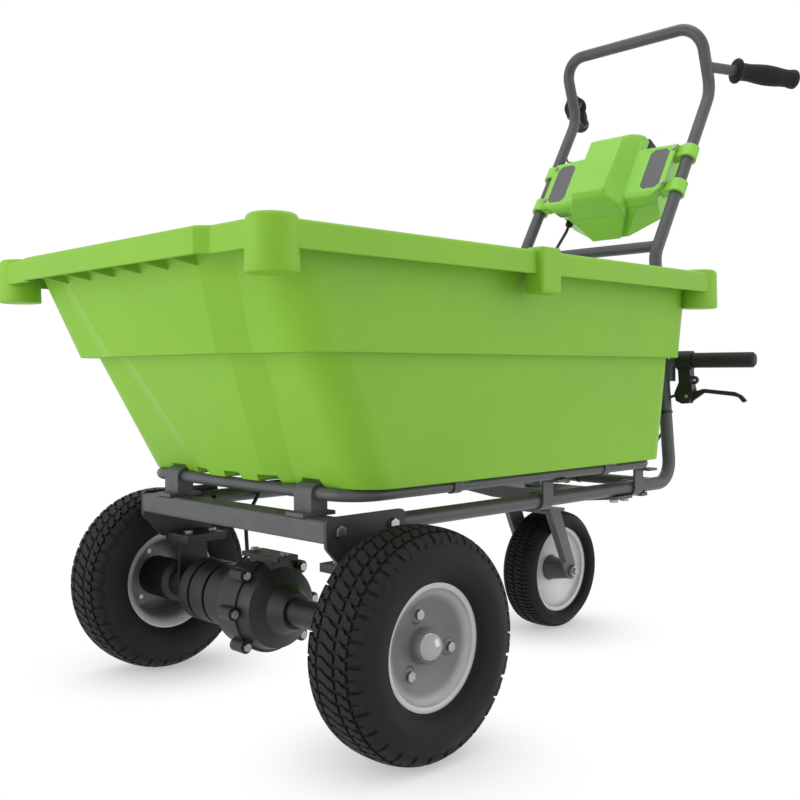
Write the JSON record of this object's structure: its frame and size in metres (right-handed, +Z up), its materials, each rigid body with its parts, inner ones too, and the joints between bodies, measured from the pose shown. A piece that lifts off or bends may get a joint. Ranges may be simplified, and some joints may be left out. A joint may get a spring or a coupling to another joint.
{
  "type": "electric garden cart",
  "caption": "Electric garden cart with a green tipping tub, grey tube chassis, lugged drive wheels, a rear caster, a hooped handle, a control box and a dump lever.",
  "frame": {"origin": "on the ground below the middle of the overall box", "axes": "+X to the cart's left, +Y to the back where the operator stands, +Z up"},
  "size_m": [0.6666, 1.3406, 1.118],
  "materials": {
    "tub_green": "moulded, slightly satin",
    "box_green": "gloss moulded",
    "panel_grey": "fine matte",
    "black_plastic": "satin moulded",
    "grip_rubber": "ribbed, matte",
    "frame_grey": "powder coat, satin",
    "drive_black": "black paint, satin",
    "bright_steel": "bright zinc plate",
    "tyre": "matte, lugged",
    "rim_grey": "silver-grey paint",
    "cable_black": "satin sheath",
    "cable_grey": "satin sheath"
  },
  "bodies": {
    "chassis": {"box_front_shell": "box_green", "box_back_shell": "box_green", "box_panels": "panel_grey", "box_grommet": "grip_rubber", "box_clamps": "box_green", "chassis_rail_left": "frame_grey", "chassis_rail_right": "frame_grey", "front_cross_rail": "frame_grey", "axle_hanger_left": "frame_grey", "axle_hanger_right": "frame_grey", "rear_cross_tube": "frame_grey", "tub_rests": "frame_grey", "handle_hoop": "frame_grey", "handle_sleeves": "frame_grey", "handle_cross_bar": "frame_grey", "grip_stubs": "frame_grey", "lower_grip_stub": "frame_grey", "caster_cross_member": "frame_grey", "hinge_blocks": "frame_grey", "latch_cheeks": "frame_grey", "grip_left": "grip_rubber", "grip_right": "grip_rubber", "lower_grip": "grip_rubber", "throttle_housing": "black_plastic", "lever_bracket": "black_plastic", "pivot_pins": "bright_steel", "gear_case": "drive_black", "motor_housing": "drive_black", "axle_tubes": "drive_black", "axle_struts": "drive_black", "throttle_cable": "cable_grey", "motor_cable": "cable_black", "release_cable": "cable_black", "cable_ties": "black_plastic", "bolts": "bright_steel"},
    "wheel_left": {"tyre_left": "tyre", "rim_left": "rim_grey", "hub_left": "drive_black", "hub_cap_left": "bright_steel", "wheel_bolts_left": "bright_steel"},
    "wheel_right": {"tyre_right": "tyre", "rim_right": "rim_grey", "hub_right": "drive_black", "hub_cap_right": "bright_steel", "wheel_bolts_right": "bright_steel"},
    "caster_fork": {"caster_fork": "frame_grey", "kingpin": "bright_steel", "caster_axle": "bright_steel"},
    "caster_wheel": {"caster_tyre": "tyre", "caster_rim": "rim_grey"},
    "tub": {"tub": "tub_green", "tub_ring": "frame_grey", "ring_clips": "frame_grey"},
    "dump_lever": {"dump_lever": "black_plastic"},
    "latch": {"latch_hook": "bright_steel"},
    "throttle": {"throttle_lever": "black_plastic"},
    "battery": {"battery": "black_plastic"},
    "rocker": {"direction_rocker": "black_plastic"},
    "power": {"power_button": "black_plastic"}
  },
  "joints": [
    {"name": "wheel_left_spin", "type": "hinge", "parent": "chassis", "child": "wheel_left", "pos_m": [0.283, -0.41831, 0.14], "axis": [1, 0, 0], "continuous": true},
    {"name": "wheel_right_spin", "type": "hinge", "parent": "chassis", "child": "wheel_right", "pos_m": [-0.283, -0.41831, 0.14], "axis": [1, 0, 0], "continuous": true},
    {"name": "caster_swivel", "type": "hinge", "parent": "chassis", "child": "caster_fork", "pos_m": [0, 0.16869, 0.22], "axis": [0, 0, 1], "continuous": true},
    {"name": "caster_spin", "type": "hinge", "parent": "caster_fork", "child": "caster_wheel", "pos_m": [0, 0.21869, 0.105], "axis": [1, 0, 0], "continuous": true},
    {"name": "tub_tip", "type": "hinge", "parent": "chassis", "child": "tub", "pos_m": [0, -0.46631, 0.312], "axis": [1, 0, 0], "range_deg": [0, 75]},
    {"name": "dump_lever_squeeze", "type": "hinge", "parent": "chassis", "child": "dump_lever", "pos_m": [0.22058, 0.31996, 0.418], "axis": [0.1736, -0.9848, 0], "range_deg": [0, 18], "stiffness_Nm_per_rad": 1.2},
    {"name": "latch_turn", "type": "hinge", "parent": "chassis", "child": "latch", "pos_m": [0, 0.22669, 0.283], "axis": [-1, 0, 0], "range_deg": [0, 24]},
    {"name": "throttle_push", "type": "hinge", "parent": "chassis", "child": "throttle", "pos_m": [-0.154, 0.49673, 1.035], "axis": [-0.4991, 0.8644, -0.061], "range_deg": [0, 30], "stiffness_Nm_per_rad": 0.3},
    {"name": "battery_lift", "type": "slide", "parent": "chassis", "child": "battery", "axis": [0, 0.5106, 0.8598], "range_m": [0, 0.12]},
    {"name": "direction_rock", "type": "hinge", "parent": "chassis", "child": "rocker", "pos_m": [-0.088, 0.45925, 0.86062], "axis": [1, 0, 0], "range_deg": [-12, 12]},
    {"name": "power_press", "type": "slide", "parent": "chassis", "child": "power", "axis": [0, -0.5106, -0.8598], "range_m": [0, 0.003], "stiffness_N_per_m": 400}
  ],
  "couplings": [
    {"joint": "latch_turn", "follows": "dump_lever_squeeze", "ratio": 1.3333}
  ]
}
